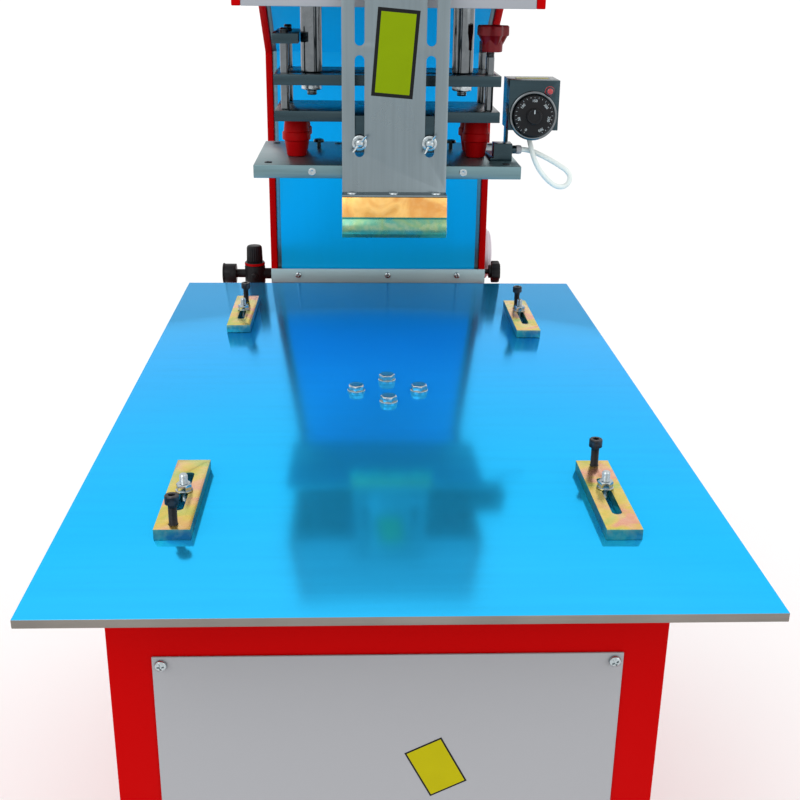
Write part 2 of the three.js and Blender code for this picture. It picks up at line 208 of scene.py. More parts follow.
# a clean copy of a frame part with softened edges
def refined(node, name, width, segments=2, soften=True):
    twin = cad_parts[node].copy()
    twin.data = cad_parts[node].data.copy()
    twin.parent = None
    twin.matrix_world = Matrix.Identity(4)
    scene.collection.objects.link(twin)
    named(twin, name)
    pick(twin)
    bpy.ops.object.mode_set(mode="EDIT")
    bpy.ops.mesh.select_all(action="SELECT")
    bpy.ops.mesh.remove_doubles(threshold=1e-6)
    bpy.ops.mesh.dissolve_limited(angle_limit=radians(1))
    bpy.ops.object.mode_set(mode="OBJECT")
    if soften:
        crisp(twin, width * mm, segments)
    return twin


# gives a piece its finish and the body it moves with, and hides the frame parts it stands for
def dress(piece, coats, body, slotName, *nodes):
    if not isinstance(coats, (list, tuple)):
        coats = [coats]
    marks = [face.material_index for face in piece.data.polygons]
    piece.data.materials.clear()
    for coat in coats:
        piece.data.materials.append(coat)
    for face, mark in zip(piece.data.polygons, marks):
        face.material_index = min(mark, len(coats) - 1)
    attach(piece, body)
    if nodes:
        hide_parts(*nodes)
    return piece


# copies of one fastener at each place, each turned a little further than the last
def scatter(master, name, places, towards, turn, coat, body, slotName):
    first, step = turn
    for number, place in enumerate(places):
        one = put(copyOf(master, f"{name}_{number}"), place, towards, first + step * number)
        dress(unmarked(one), coat, body, slotName)


# marks the faces that take the second finish
def mark(piece, wanted, index=1):
    for face in piece.data.polygons:
        if wanted(face.center, face.normal):
            face.material_index = index


def unmarked(piece):
    for face in piece.data.polygons:
        face.material_index = 0
    return piece


# shared effects
def newGroup(name, inputs, outputs):
    group = bpy.data.node_groups.new(name, "ShaderNodeTree")
    for label, kind, value in inputs:
        socket = group.interface.new_socket(name=label, in_out="INPUT", socket_type=kind)
        if value is not None:
            socket.default_value = value
    for label, kind in outputs:
        group.interface.new_socket(name=label, in_out="OUTPUT", socket_type=kind)
    start = group.nodes.new("NodeGroupInput")
    end = group.nodes.new("NodeGroupOutput")
    return group, start, end


def addNode(tree, kind, **settings):
    node = tree.nodes.new(kind)
    for key, value in settings.items():
        setattr(node, key, value)
    return node


# rubbed edges and blotches: mixes a worn colour in on sharp edges and varies the base colour slowly
def edgeWearGroup():
    group, start, end = newGroup(
        "edgeWear",
        [("Vector", "NodeSocketVector", None), ("Color", "NodeSocketColor", (0.5, 0.5, 0.5, 1)),
         ("Worn Color", "NodeSocketColor", (0.8, 0.8, 0.8, 1)), ("Edge", "NodeSocketFloat", 0.5),
         ("Blotch Scale", "NodeSocketFloat", 8.0), ("Blotch", "NodeSocketFloat", 0.1)],
        [("Color", "NodeSocketColor"), ("Mask", "NodeSocketFloat")],
    )
    link = group.links.new
    shape = addNode(group, "ShaderNodeNewGeometry")
    corner = addNode(group, "ShaderNodeMapRange")
    corner.inputs["From Min"].default_value = 0.52
    corner.inputs["From Max"].default_value = 0.62
    ragged = addNode(group, "ShaderNodeTexNoise")
    ragged.inputs["Scale"].default_value = 160
    ragged.inputs["Detail"].default_value = 4
    raggedCut = addNode(group, "ShaderNodeMapRange")
    raggedCut.inputs["From Min"].default_value = 0.45
    raggedCut.inputs["From Max"].default_value = 0.62
    rub = addNode(group, "ShaderNodeMath", operation="MULTIPLY")
    amount = addNode(group, "ShaderNodeMath", operation="MULTIPLY", use_clamp=True)
    cloud = addNode(group, "ShaderNodeTexNoise")
    cloud.inputs["Detail"].default_value = 5
    cloudShift = addNode(group, "ShaderNodeMath", operation="SUBTRACT")
    cloudShift.inputs[1].default_value = 0.5
    cloudAmount = addNode(group, "ShaderNodeMath", operation="MULTIPLY")
    bright = addNode(group, "ShaderNodeMath", operation="ADD")
    bright.inputs[1].default_value = 1.0
    shade = addNode(group, "ShaderNodeVectorMath", operation="SCALE")
    blend = addNode(group, "ShaderNodeMix", data_type="RGBA")
    link(start.outputs["Vector"], ragged.inputs["Vector"])
    link(start.outputs["Vector"], cloud.inputs["Vector"])
    link(start.outputs["Blotch Scale"], cloud.inputs["Scale"])
    link(shape.outputs["Pointiness"], corner.inputs["Value"])
    link(ragged.outputs["Fac"], raggedCut.inputs["Value"])
    link(corner.outputs["Result"], rub.inputs[0])
    link(raggedCut.outputs["Result"], rub.inputs[1])
    link(rub.outputs[0], amount.inputs[0])
    link(start.outputs["Edge"], amount.inputs[1])
    link(cloud.outputs["Fac"], cloudShift.inputs[0])
    link(cloudShift.outputs[0], cloudAmount.inputs[0])
    link(start.outputs["Blotch"], cloudAmount.inputs[1])
    link(cloudAmount.outputs[0], bright.inputs[0])
    link(start.outputs["Color"], shade.inputs[0])
    link(bright.outputs[0], shade.inputs["Scale"])
    link(amount.outputs[0], blend.inputs["Factor"])
    link(shade.outputs[0], blend.inputs["A"])
    link(start.outputs["Worn Color"], blend.inputs["B"])
    link(blend.outputs["Result"], end.inputs["Color"])
    link(amount.outputs[0], end.inputs["Mask"])
    return group


# brushed lines: the vector is stretched before it comes in
def brushedGrainGroup():
    group, start, end = newGroup(
        "brushedGrain",
        [("Vector", "NodeSocketVector", None), ("Color", "NodeSocketColor", (0.5, 0.5, 0.5, 1)),
         ("Strength", "NodeSocketFloat", 0.2)],
        [("Color", "NodeSocketColor"), ("Height", "NodeSocketFloat")],
    )
    link = group.links.new
    lines = addNode(group, "ShaderNodeTexNoise")
    lines.inputs["Scale"].default_value = 1
    lines.inputs["Detail"].default_value = 3
    shift = addNode(group, "ShaderNodeMath", operation="SUBTRACT")
    shift.inputs[1].default_value = 0.5
    amount = addNode(group, "ShaderNodeMath", operation="MULTIPLY")
    bright = addNode(group, "ShaderNodeMath", operation="ADD")
    bright.inputs[1].default_value = 1.0
    shade = addNode(group, "ShaderNodeVectorMath", operation="SCALE")
    link(start.outputs["Vector"], lines.inputs["Vector"])
    link(lines.outputs["Fac"], shift.inputs[0])
    link(shift.outputs[0], amount.inputs[0])
    link(start.outputs["Strength"], amount.inputs[1])
    link(amount.outputs[0], bright.inputs[0])
    link(start.outputs["Color"], shade.inputs[0])
    link(bright.outputs[0], shade.inputs["Scale"])
    link(shade.outputs[0], end.inputs["Color"])
    link(lines.outputs["Fac"], end.inputs["Height"])
    return group


# handling marks: roughness that wanders in smears and a little dust
def smearGroup():
    group, start, end = newGroup(
        "handlingSmears",
        [("Vector", "NodeSocketVector", None), ("Roughness", "NodeSocketFloat", 0.3),
         ("Spread", "NodeSocketFloat", 0.1), ("Scale", "NodeSocketFloat", 20.0)],
        [("Roughness", "NodeSocketFloat"), ("Height", "NodeSocketFloat")],
    )
    link = group.links.new
    smear = addNode(group, "ShaderNodeTexNoise")
    smear.inputs["Detail"].default_value = 6
    smear.inputs["Distortion"].default_value = 0.6
    shift = addNode(group, "ShaderNodeMath", operation="SUBTRACT")
    shift.inputs[1].default_value = 0.5
    amount = addNode(group, "ShaderNodeMath", operation="MULTIPLY")
    total = addNode(group, "ShaderNodeMath", operation="ADD", use_clamp=True)
    fine = addNode(group, "ShaderNodeTexNoise")
    fine.inputs["Scale"].default_value = 900
    fine.inputs["Detail"].default_value = 2
    link(start.outputs["Vector"], smear.inputs["Vector"])
    link(start.outputs["Vector"], fine.inputs["Vector"])
    link(start.outputs["Scale"], smear.inputs["Scale"])
    link(smear.outputs["Fac"], shift.inputs[0])
    link(shift.outputs[0], amount.inputs[0])
    link(start.outputs["Spread"], amount.inputs[1])
    link(amount.outputs[0], total.inputs[0])
    link(start.outputs["Roughness"], total.inputs[1])
    link(total.outputs[0], end.inputs["Roughness"])
    link(fine.outputs["Fac"], end.inputs["Height"])
    return group


edgeWear = edgeWearGroup()
brushedGrain = brushedGrainGroup()
handlingSmears = smearGroup()


def useGroup(tree, group, **values):
    node = addNode(tree, "ShaderNodeGroup", node_tree=group)
    for key, value in values.items():
        node.inputs[key.replace("_", " ")].default_value = value
    return node


def paint4(color):
    return (*color, 1)


# one finish: colour through wear and grain, roughness through smears, and a fine bump
def newCoat(name, look):
    coat = bpy.data.materials.new(name)
    coat.use_nodes = True
    tree = coat.node_tree
    link = tree.links.new
    shader = tree.nodes["Principled BSDF"]
    place = addNode(tree, "ShaderNodeTexCoord")
    stretch = addNode(tree, "ShaderNodeMapping")
    stretch.inputs["Scale"].default_value = look.get("grainScale", (300, 300, 300))
    link(place.outputs["Object"], stretch.inputs["Vector"])
    grain = useGroup(tree, brushedGrain, Color=paint4(look["color"]), Strength=look.get("grain", 0.0))
    link(stretch.outputs["Vector"], grain.inputs["Vector"])
    wear = useGroup(tree, edgeWear, Worn_Color=paint4(look.get("worn", look["color"])), Edge=look.get("edge", 0.0),
                    Blotch_Scale=look.get("blotchScale", 8.0), Blotch=look.get("blotch", 0.1))
    link(place.outputs["Object"], wear.inputs["Vector"])
    link(grain.outputs["Color"], wear.inputs["Color"])
    smears = useGroup(tree, handlingSmears, Roughness=look["roughness"], Spread=look.get("spread", 0.1),
                      Scale=look.get("smearScale", 20.0))
    link(place.outputs["Object"], smears.inputs["Vector"])
    link(wear.outputs["Color"], shader.inputs["Base Color"])
    link(smears.outputs["Roughness"], shader.inputs["Roughness"])
    shader.inputs["Metallic"].default_value = look.get("metallic", 0.0)
    shader.inputs["Specular IOR Level"].default_value = look.get("specular", 0.5)
    shader.inputs["Coat Weight"].default_value = look.get("coat", 0.0)
    shader.inputs["Coat Roughness"].default_value = look.get("coatRoughness", 0.1)
    bump = addNode(tree, "ShaderNodeBump")
    bump.inputs["Strength"].default_value = look.get("bump", 0.05)
    bump.inputs["Distance"].default_value = look.get("bumpDistance", 0.0004)
    link((grain if look.get("grain", 0) else smears).outputs["Height"], bump.inputs["Height"])
    link(bump.outputs["Normal"], shader.inputs["Normal"])
    return coat, tree, shader, place, grain


def plainCoat(name, **look):
    return newCoat(name, look)[0]


def tableFilmCoat():
    look = {"color": (0.025, 0.5, 0.93), "tint": (0.1, 0.62, 0.95, 1), "roughness": 0.14, "spread": 0.06,
            "blotch": 0.14, "blotchScale": 3, "metallic": 0.75, "grain": 0.12, "grainScale": (5, 90, 5),
            "bump": 0.02, "bumpDistance": 0.0002, "smearScale": 4}
    made = newCoat("tableFilm", look)
    made[2].inputs["Specular Tint"].default_value = look["tint"]
    return made[0]


# yellow passivated zinc that runs through pink, gold and green
def rainbowZincCoat(name, tints, scale, roughness):
    look = {"color": tints[0], "worn": (0.9, 0.7, 0.35), "roughness": roughness, "spread": 0.14, "edge": 0.3,
            "blotch": 0.2, "blotchScale": 30, "metallic": 0.85, "bump": 0.06, "smearScale": 60}
    coat, tree, _, place, grain = newCoat(name, look)
    drift = addNode(tree, "ShaderNodeTexNoise")
    drift.inputs["Scale"].default_value = scale
    drift.inputs["Detail"].default_value = 2
    drift.inputs["Distortion"].default_value = 0.8
    ramp = addNode(tree, "ShaderNodeValToRGB")
    ramp.color_ramp.elements[0].position = 0.34
    ramp.color_ramp.elements[0].color = paint4(tints[0])
    ramp.color_ramp.elements[1].position = 0.68
    ramp.color_ramp.elements[1].color = paint4(tints[2])
    middle = ramp.color_ramp.elements.new(0.5)
    middle.color = paint4(tints[1])
    tree.links.new(place.outputs["Object"], drift.inputs["Vector"])
    tree.links.new(drift.outputs["Fac"], ramp.inputs["Fac"])
    tree.links.new(ramp.outputs["Color"], grain.inputs["Color"])
    return coat


def printedCoat(name, color):
    return plainCoat(name, color=color, roughness=0.36, spread=0.08, blotch=0.12, blotchScale=45, specular=0.06,
                     bump=0.05)


# woven glass sleeving: two crossed waves round the lead
def sleeveCoat():
    look = {"color": (0.74, 0.8, 0.77), "roughness": 0.72, "spread": 0.1, "blotch": 0.14, "blotchScale": 60,
            "bump": 0.5}
    coat, tree, _, place, _ = newCoat("wovenSleeve", look)
    bump = next(node for node in tree.nodes if node.type == "BUMP")
    waves = []
    for direction in ("X", "Z"):
        wave = addNode(tree, "ShaderNodeTexWave", bands_direction=direction)
        wave.inputs["Scale"].default_value = 420
        wave.inputs["Distortion"].default_value = 1.5
        tree.links.new(place.outputs["Object"], wave.inputs["Vector"])
        waves.append(wave)
    weave = addNode(tree, "ShaderNodeMath", operation="MULTIPLY")
    tree.links.new(waves[0].outputs["Fac"], weave.inputs[0])
    tree.links.new(waves[1].outputs["Fac"], weave.inputs[1])
    tree.links.new(weave.outputs[0], bump.inputs["Height"])
    return coat


redPaint = plainCoat("redPaint", color=(0.45, 0.0, 0.0003), worn=(0.5, 0.02, 0.02), roughness=0.46, spread=0.06,
                     blotch=0.08, blotchScale=3, specular=0.03, bump=0.03, smearScale=4)
whitePaint = plainCoat("whitePaint", color=(0.325, 0.33, 0.35), worn=(0.26, 0.26, 0.27), roughness=0.42,
                       spread=0.06, blotch=0.04, blotchScale=3, specular=0.3, bump=0.02, smearScale=3)
tableFilm = tableFilmCoat()
columnFilm = plainCoat("columnFilm", color=(0.002, 0.44, 0.86), roughness=0.24, spread=0.06, blotch=0.1,
                       blotchScale=3, metallic=0.15, grain=0.06, grainScale=(90, 90, 5), bump=0.02,
                       bumpDistance=0.0002, specular=0.3, smearScale=4)
bareAluminium = plainCoat("bareAluminium", color=(0.15, 0.24, 0.26), roughness=0.34, spread=0.14, blotch=0.2,
                          blotchScale=12, metallic=0.9, grain=0.4, grainScale=(14, 300, 300), bump=0.06,
                          bumpDistance=0.0002)
stripAluminium = plainCoat("stripAluminium", color=(0.36, 0.5, 0.53), roughness=0.42, spread=0.12, blotch=0.2,
                           blotchScale=10, metallic=0.35, grain=0.2, grainScale=(8, 260, 260), specular=0.2,
                           bump=0.04, bumpDistance=0.0002)
sawnEdge = plainCoat("sawnEdge", color=(0.22, 0.2, 0.18), roughness=0.5, spread=0.14, blotch=0.4,
                     blotchScale=18, metallic=0.6, grain=0.3, grainScale=(9, 9, 300), specular=0.2, bump=0.06,
                     bumpDistance=0.0002)
sheetAluminium = plainCoat("sheetAluminium", color=(0.2, 0.245, 0.265), roughness=0.3, spread=0.16, blotch=0.3,
                           blotchScale=9, metallic=0.92, grain=0.24, grainScale=(300, 300, 10), bump=0.04,
                           bumpDistance=0.0002, smearScale=12)
groundSteel = plainCoat("groundSteel", color=(0.032, 0.054, 0.064), roughness=0.27, spread=0.16, blotch=0.3,
                        blotchScale=16, metallic=0.92, grain=0.35, grainScale=(14, 300, 300), bump=0.06,
                        bumpDistance=0.0002, smearScale=14)
polishedSteel = plainCoat("polishedSteel", color=(0.15, 0.165, 0.175), worn=(0.4, 0.42, 0.44), roughness=0.1,
                          spread=0.06, edge=0.2, blotch=0.1, blotchScale=18, metallic=1.0, grain=0.06,
                          grainScale=(60, 60, 300), bump=0.02, bumpDistance=0.0002)
brightZinc = plainCoat("brightZinc", color=(0.4, 0.45, 0.47), worn=(0.8, 0.83, 0.84), roughness=0.22,
                       spread=0.14, edge=0.6, blotch=0.3, blotchScale=90, metallic=0.95, bump=0.1,
                       smearScale=120)
barZinc = rainbowZincCoat("barZinc", [(0.72, 0.34, 0.22), (0.68, 0.5, 0.1), (0.42, 0.5, 0.1)], 26, 0.26)
# darker teal zinc for the clamp bars' side faces: the zinc's own colour on the outer sides, and painted shade on the
# slot's inner walls
sideZincSlotShade = rainbowZincCoat("sideZincSlotShade", [(0.02, 0.4, 0.27), (0.08, 0.36, 0.3), (0.05, 0.18, 0.26)], 24, 0.3)
lipGold = rainbowZincCoat("lipGold", [(0.68, 0.36, 0.09), (0.88, 0.52, 0.16), (0.7, 0.32, 0.08)], 30, 0.24)
lipGreen = rainbowZincCoat("lipGreen", [(0.1, 0.33, 0.24), (0.2, 0.35, 0.18), (0.05, 0.3, 0.28)], 26, 0.28)
blackOxide = plainCoat("blackOxide", color=(0.012, 0.012, 0.014), worn=(0.12, 0.12, 0.13), roughness=0.38,
                       spread=0.16, edge=0.5, blotch=0.4, blotchScale=60, metallic=0.6, bump=0.1, smearScale=80)
blackPlastic = plainCoat("blackPlastic", color=(0.012, 0.012, 0.013), worn=(0.06, 0.06, 0.065), roughness=0.36,
                         spread=0.12, edge=0.3, blotch=0.2, blotchScale=40, specular=0.12, bump=0.15,
                         smearScale=60)
redPlastic = plainCoat("redPlastic", color=(0.34, 0.0, 0.001), worn=(0.45, 0.01, 0.012), roughness=0.42,
                       spread=0.12, edge=0.3, blotch=0.18, blotchScale=40, specular=0.06, bump=0.2,
                       smearScale=50)
darkRedPlastic = plainCoat("darkRedPlastic", color=(0.13, 0.0, 0.003), worn=(0.3, 0.01, 0.02), roughness=0.36,
                           spread=0.12, edge=0.4, blotch=0.2, blotchScale=60, specular=0.25, bump=0.15,
                           smearScale=60)
paleGrey = plainCoat("paleGrey", color=(0.62, 0.57, 0.62), worn=(0.4, 0.38, 0.4), roughness=0.42, spread=0.1,
                     edge=0.3, blotch=0.12, blotchScale=20, bump=0.15)
rubber = plainCoat("rubber", color=(0.025, 0.025, 0.027), roughness=0.7, spread=0.15, blotch=0.3,
                   blotchScale=30, bump=0.4)
lampLens = plainCoat("lampLens", color=(0.35, 0.004, 0.01), roughness=0.12, spread=0.05, blotch=0.1, coat=0.8,
                     bump=0.02)
labelBlack = printedCoat("labelBlack", (0.012, 0.012, 0.012))
labelLime = printedCoat("labelLime", (0.2, 0.28, 0.0005))
labelYellow = printedCoat("labelYellow", (0.4, 0.36, 0.002))
dialWhite = printedCoat("dialWhite", (0.5, 0.55, 0.56))
wovenSleeve = sleeveCoat()
print("finishes ready")


# the heater's lead
def heaterLead():
    lead = {"radius": 3.0, "body": "stamping_head"}
    route = [
        (156.5, 13, 1064.3), (166.1, 13, 1064.2), (177, 12.7, 1061.8), (188.8, 11.3, 1056.8), (200.2, 9.3, 1051.2),
        (210, 7, 1045.6), (217.4, 4.7, 1040.5), (221.5, 2.4, 1033.9), (219.7, 0, 1026.7), (213.2, -2, 1022.6),
        (204.8, -3, 1023.3), (196.5, -2.6, 1028.3), (188.3, -1, 1036.3), (181.5, 1, 1045.8), (176.4, 3.2, 1056.8),
        (173.3, 7.4, 1067.5), (171.3, 13.6, 1077.5), (170.6, 17.6, 1084.5), (170.6, 18, 1089.5),
    ]
    curveData = bpy.data.curves.new("heaterLead", "CURVE")
    curveData.dimensions = "3D"
    curveData.bevel_depth = lead["radius"] * mm
    curveData.bevel_resolution = 4
    curveData.resolution_u = 8
    curveData.use_fill_caps = True
    spline = curveData.splines.new("BEZIER")
    spline.bezier_points.add(len(route) - 1)
    for point, place in zip(spline.bezier_points, route):
        point.co = Vector(place) * mm
        point.handle_left_type = point.handle_right_type = "AUTO"
    curve = bpy.data.objects.new("heaterLead", curveData)
    scene.collection.objects.link(curve)
    bpy.context.view_layer.update()
    curveData.materials.append(wovenSleeve)
    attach(curve, lead["body"])
    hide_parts("heater_lead")


heaterLead()
print("lead laid")


# standard hardware, each made once about the origin and copied
def slottedOff(piece, width, depth, length, at):
    for angle in (0, 90):
        cutter = blockOf("cutter", (-length / 2, -width / 2, at - depth), (length / 2, width / 2, at + depth))
        put(cutter, (0, 0, 0), "+Z", angle)
        carve(piece, cutter)


def panScrew(name, radius):
    screw = turned(name, [(radius, 0), (radius, 0.25 * radius), (radius * 0.9, 0.5 * radius),
                          (radius * 0.62, 0.68 * radius), (radius * 0.25, 0.74 * radius)], 32)
    slottedOff(screw, radius * 0.28, radius * 0.42, radius * 1.15, radius * 0.8)
    crisp(screw, radius * 0.03 * mm)
    return screw


def hexHead(name, across, height, washerRadius=0.0, washerHeight=0.0):
    corner = across / 2 / cos(pi / 6)
    head = turned(name, [(corner, washerHeight), (corner, washerHeight + height * 0.82)], 6)
    chamfer = turned("chamfer", [(corner * 1.05, washerHeight - 1), (corner * 1.05, washerHeight + height * 0.72),
                                 (corner * 0.82, washerHeight + height), (corner * 0.4, washerHeight + height)], 36)
    editFaces(head, lambda centre, normal: normal.z > 0.5)
    bpy.ops.transform.translate(value=(0, 0, height * 0.18 * mm))
    bpy.ops.object.mode_set(mode="OBJECT")
    finishWith(head, "BOOLEAN", operation="INTERSECT", object=chamfer, solver="EXACT")
    discard(chamfer)
    crisp(head, 0.35 * mm)
    if washerRadius:
        washer = turned("washer", [(washerRadius, 0), (washerRadius, washerHeight * 0.8),
                                   (washerRadius * 0.95, washerHeight)], 48)
        smoothed(washer)
        head = joined(name, [head, washer])
    return head


def threadSteps(radius, low, high, pitch, depth=0.55):
    steps = []
    count = max(1, int((high - low) / pitch))
    each = (high - low) / count
    for turn in range(count):
        base = low + turn * each
        steps += [(radius - depth, base + each * 0.05), (radius, base + each * 0.5),
                  (radius - depth, base + each * 0.95)]
    return steps


def socketScrew(name, shank, headRadius, headLow, headHigh, low):
    steps = [(shank - 0.8, low)] + threadSteps(shank, low + 0.6, headLow - 4, 1.25, 0.5)
    steps += [(shank, headLow - 3.5), (shank, headLow), (headRadius, headLow), (headRadius, headHigh - 0.8),
              (headRadius - 0.8, headHigh), (headRadius * 0.5, headHigh)]
    screw = turned(name, steps, 32)
    socket = turned("socket", [(headRadius * 0.5, headHigh - 4), (headRadius * 0.5, headHigh + 1)], 6)
    carve(screw, socket)
    smoothed(screw, 40)
    return screw


# a grooved ring of straight knurls on the head
def knurl(piece, low, high, radius, count, depth):
    for vertex in piece.data.vertices:
        x, y, z = vertex.co
        reach = (x * x + y * y) ** 0.5
        if low * mm < z < high * mm and abs(reach - radius * mm) < 0.3 * mm:
            angle = round(count * 2 * (pi + (Vector((x, y)).angle_signed(Vector((1, 0)), 0))) / (2 * pi))
            if angle % 2:
                vertex.co.x *= 1 - depth / radius
                vertex.co.y *= 1 - depth / radius


# cabinet
def buildCabinet():
    look = {"edge": 1.4, "screw": 5.6, "screwInset": 8, "behindDoor": 12}
    for node in ("cabinet_left_wall", "cabinet_right_wall", "cabinet_top", "cabinet_floor"):
        made = refined(node, node.replace("cabinet_", "cabinet_skin_"), look["edge"], 3)
        dress(unmarked(made), redPaint, "machine", "red_paint", node)
    # the filled and painted front of the welded frame, with the door's opening cut out
    wallLow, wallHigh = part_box("cabinet_left_wall")[0] * 1000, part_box("cabinet_right_wall")[1] * 1000
    topEdge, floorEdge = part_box("cabinet_top")[1].z * 1000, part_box("cabinet_floor")[0].z * 1000
    front = wallLow.y
    face = blockOf("cabinet_front_paint", (wallLow.x, front - 0.22, floorEdge), (wallHigh.x, front - 0.02, topEdge))
    doorLow, doorHigh = (corner * 1000 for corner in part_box("cabinet_front_panel"))
    inset = look["behindDoor"]
    opening = blockOf("opening", (doorLow.x + inset, front - 5, doorLow.z + inset),
                      (doorHigh.x - inset, front + 5, doorHigh.z - inset))
    carve(face, opening)
    crisp(face, 0.08 * mm)
    dress(unmarked(face), redPaint, "machine", "red_paint")
    rear = refined("cabinet_rear_panel", "cabinet_rear_skin", 0.9)
    dress(unmarked(rear), redPaint, "machine", "red_paint", "cabinet_rear_panel")
    panel = refined("cabinet_front_panel", "cabinet_front_door", 0.7, 3)
    dress(unmarked(panel), whitePaint, "machine", "white_paint", "cabinet_front_panel")
    screw = panScrew("door_screw", look["screw"])
    inset = look["screwInset"]
    heights = (doorLow.z + inset, (doorLow.z + doorHigh.z) / 2, doorHigh.z - inset)
    places = [(x, doorLow.y, z) for x in (doorLow.x + inset, doorHigh.x - inset) for z in heights]
    scatter(screw, "door_screw", places, "-Y", (20, 37), brightZinc, "machine", "steel")
    discard(screw)


def buildFeet():
    pad = turned("foot", [(25, 0), (26, 1.5), (26, 6), (24, 9), (18, 12.5), (12, 14.5), (9, 15.5)] +
                 threadSteps(7, 16, 45, 2.5, 0.9) + [(6.5, 46)], 36)
    smoothed(pad, 40)
    mark(pad, lambda centre, normal: centre.z < 6 * mm)
    nut = put(hexHead("foot_nut", 24, 12), (0, 0, 46))
    unmarked(nut)
    foot = joined("foot", [pad, nut])
    for node in ("foot_front_left", "foot_front_right", "foot_rear_left", "foot_rear_right"):
        x, y = standing(node)[:2]
        one = put(copyOf(foot, node.replace("foot", "levelling_foot")), (x, y, 0))
        dress(one, [blackOxide, rubber], "machine", "black_oxide", node)
    discard(foot)


# a blank label: a thin plate with a black rim and a plain field
def labelPlate(name, width, height, rim):
    label = blockOf(name, (-width / 2, -height / 2, 0), (width / 2, height / 2, 0.25))
    editFaces(label, lambda centre, normal: normal.z > 0.9)
    bpy.ops.mesh.inset(thickness=rim * mm)
    bpy.ops.object.mode_set(mode="OBJECT")
    unmarked(label)
    edge = min(width, height) / 2 * mm
    mark(label, lambda centre, normal: normal.z > 0.9 and abs(centre.x) < edge / 2 and abs(centre.y) < edge / 2)
    return label


def buildLabels():
    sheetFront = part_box("foil_guide_sheet")[1].y * 1000 - 2
    label = labelPlate("guide_label", 47, 95, 4)
    put(label, (7, sheetFront, 1178), "-Y", -4.5)
    dress(label, [labelBlack, labelLime], "guide_sheet", "aluminium")
    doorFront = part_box("cabinet_front_panel")[0].y * 1000
    sticker = labelPlate("cabinet_sticker", 38, 55, 1.6)
    put(sticker, (36, doorFront, 571), "-Y", 27)
    dress(sticker, [labelBlack, labelYellow], "machine", "white_paint")
    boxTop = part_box("thermostat_box")[1].z * 1000
    tag = labelPlate("thermostat_tag", 40, 15, 0.8)
    put(tag, (172, 18, boxTop), "+Z", 0)
    dress(tag, [labelBlack, labelYellow], "stamping_head", "steel")


buildCabinet()
buildFeet()
buildLabels()
print("cabinet built")


# frame, column and head housing
def buildFrame():
    look = {"plateEdge": 1.2, "stripX": 158, "screw": 5.0, "stripScrewZ": 797.5, "rearSunk": 1.8}
    for node in ("frame_plate_left", "frame_plate_right"):
        dress(unmarked(refined(node, node.replace("frame_plate", "side_plate"), look["plateEdge"], 3)), redPaint,
              "machine", "red_paint", node)
    film = refined("column_front_panel", "column_film", 0.5)
    for x in (-look["stripX"], look["stripX"]):
        pick(film)
        bpy.ops.object.mode_set(mode="EDIT")
        bpy.ops.mesh.select_all(action="SELECT")
        bpy.ops.mesh.bisect(plane_co=(x * mm, 0, 0), plane_no=(1, 0, 0))
        bpy.ops.object.mode_set(mode="OBJECT")
    unmarked(film)
    mark(film, lambda centre, normal: abs(centre.x) > look["stripX"] * mm)
    dress(film, [columnFilm, bareAluminium], "machine", "blue_film", "column_front_panel")
    strip = refined("column_base_strip", "column_strip", 0.6)
    dress(unmarked(strip), stripAluminium, "machine", "aluminium", "column_base_strip")
    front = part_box("column_base_strip")[0].y * 1000
    screw = panScrew("strip_screw", look["screw"])
    places = [(x, front, look["stripScrewZ"]) for x in (-131, 15, 129)]
    scatter(screw, "strip_screw", places, "-Y", (0, 31), brightZinc, "machine", "steel")
    rear = refined("column_rear_cover", "column_rear_door", 0.6)
    dress(unmarked(rear), whitePaint, "machine", "white_paint", "column_rear_cover")
    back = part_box("column_rear_cover")[1].y * 1000
    places = [(x, back - look["rearSunk"], z) for x in (-150, 150) for z in (780, 1110, 1460)]
    scatter(screw, "rear_screw", places, "+Y", (0, 23), brightZinc, "machine", "steel")
    cover = refined("head_cover", "head_hood", 0.9, 3)
    dress(unmarked(cover), whitePaint, "machine", "white_paint", "head_cover")
    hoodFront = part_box("head_cover")[0].y * 1000
    places = [(x, hoodFront, z) for x in (-152, 152) for z in (1245, 1462)]
    scatter(screw, "hood_screw", places, "-Y", (0, 19), brightZinc, "machine", "steel")
    discard(screw)
    guide = refined("head_guide_plate", "bearing_plate", 0.8)
    dress(unmarked(guide), groundSteel, "machine", "steel", "head_guide_plate")
    cylinder = refined("air_cylinder", "air_cylinder_body", 1.0)
    dress(unmarked(cylinder), bareAluminium, "machine", "aluminium", "air_cylinder")


buildFrame()
print("frame built")


# worktable
def buildTable():
    look = {"edge": 0.9, "boltRing": 37, "ringY": -112}
    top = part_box("table_plate")[1].z * 1000
    plate = refined("table_plate", "table_sheet", look["edge"], 2)
    unmarked(plate)
    mark(plate, lambda centre, normal: normal.z < 0.8)
    dress(plate, [tableFilm, sawnEdge], "machine", "blue_film", "table_plate")
    pedestal = refined("table_pedestal", "table_post", 1.0)
    dress(unmarked(pedestal), groundSteel, "machine", "steel", "table_pedestal")
    bolt = hexHead("table_bolt", 17, 6.4, 10.5, 2)
    ring = [(look["boltRing"], 0), (0, look["boltRing"]), (-look["boltRing"], 0), (0, -look["boltRing"])]
    places = [(x, look["ringY"] + y, top) for x, y in ring]
    scatter(bolt, "table_bolt", places, "+Z", (11, 23), brightZinc, "machine", "steel")
    discard(bolt)


